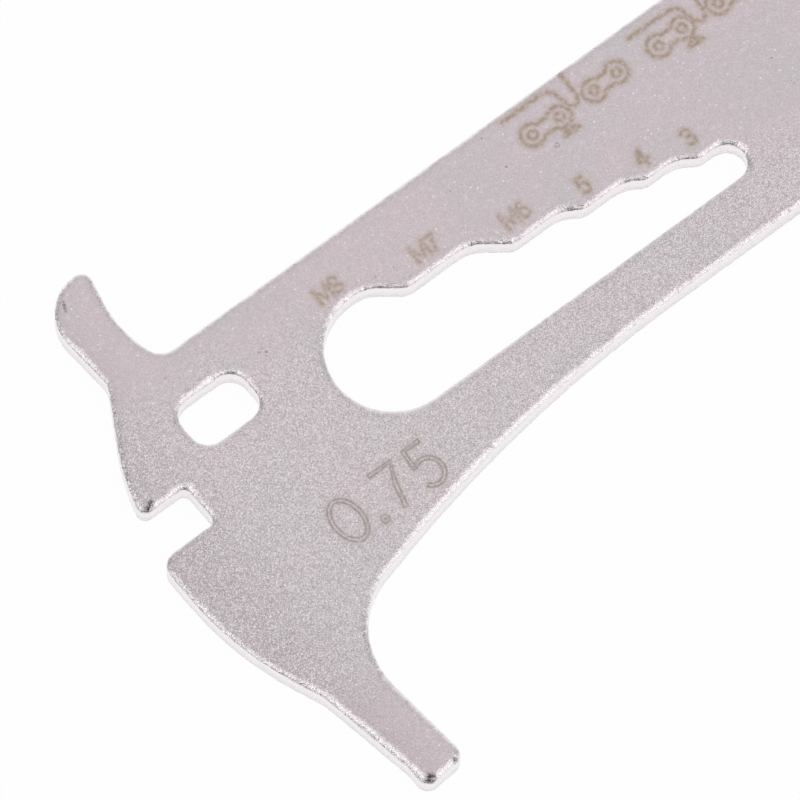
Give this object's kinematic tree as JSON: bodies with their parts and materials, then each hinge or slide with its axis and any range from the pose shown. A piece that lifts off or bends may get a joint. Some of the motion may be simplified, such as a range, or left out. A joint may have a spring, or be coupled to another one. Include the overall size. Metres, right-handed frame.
{
  "type": "chain wear gauge",
  "caption": "Flat stamped gauge plate with measuring prongs, a hook, a side notch and a stepped slot, for reading roller chain wear and bolt size.",
  "frame": {"origin": "bottom centre of the bounding box, on the plate's plain back under the strip", "axes": "+X along the strip to the far tooth, +Y to the strip's straight upper edge, +Z out of the marked face"},
  "size_m": [0.0982, 0.04, 0.0017],
  "materials": {
    "nickel_plated_steel": "tumbled and nickel plated, satin with a fine sparkling grain"
  },
  "bodies": {
    "root": {"gauge_plate": "nickel_plated_steel"}
  },
  "joints": []
}
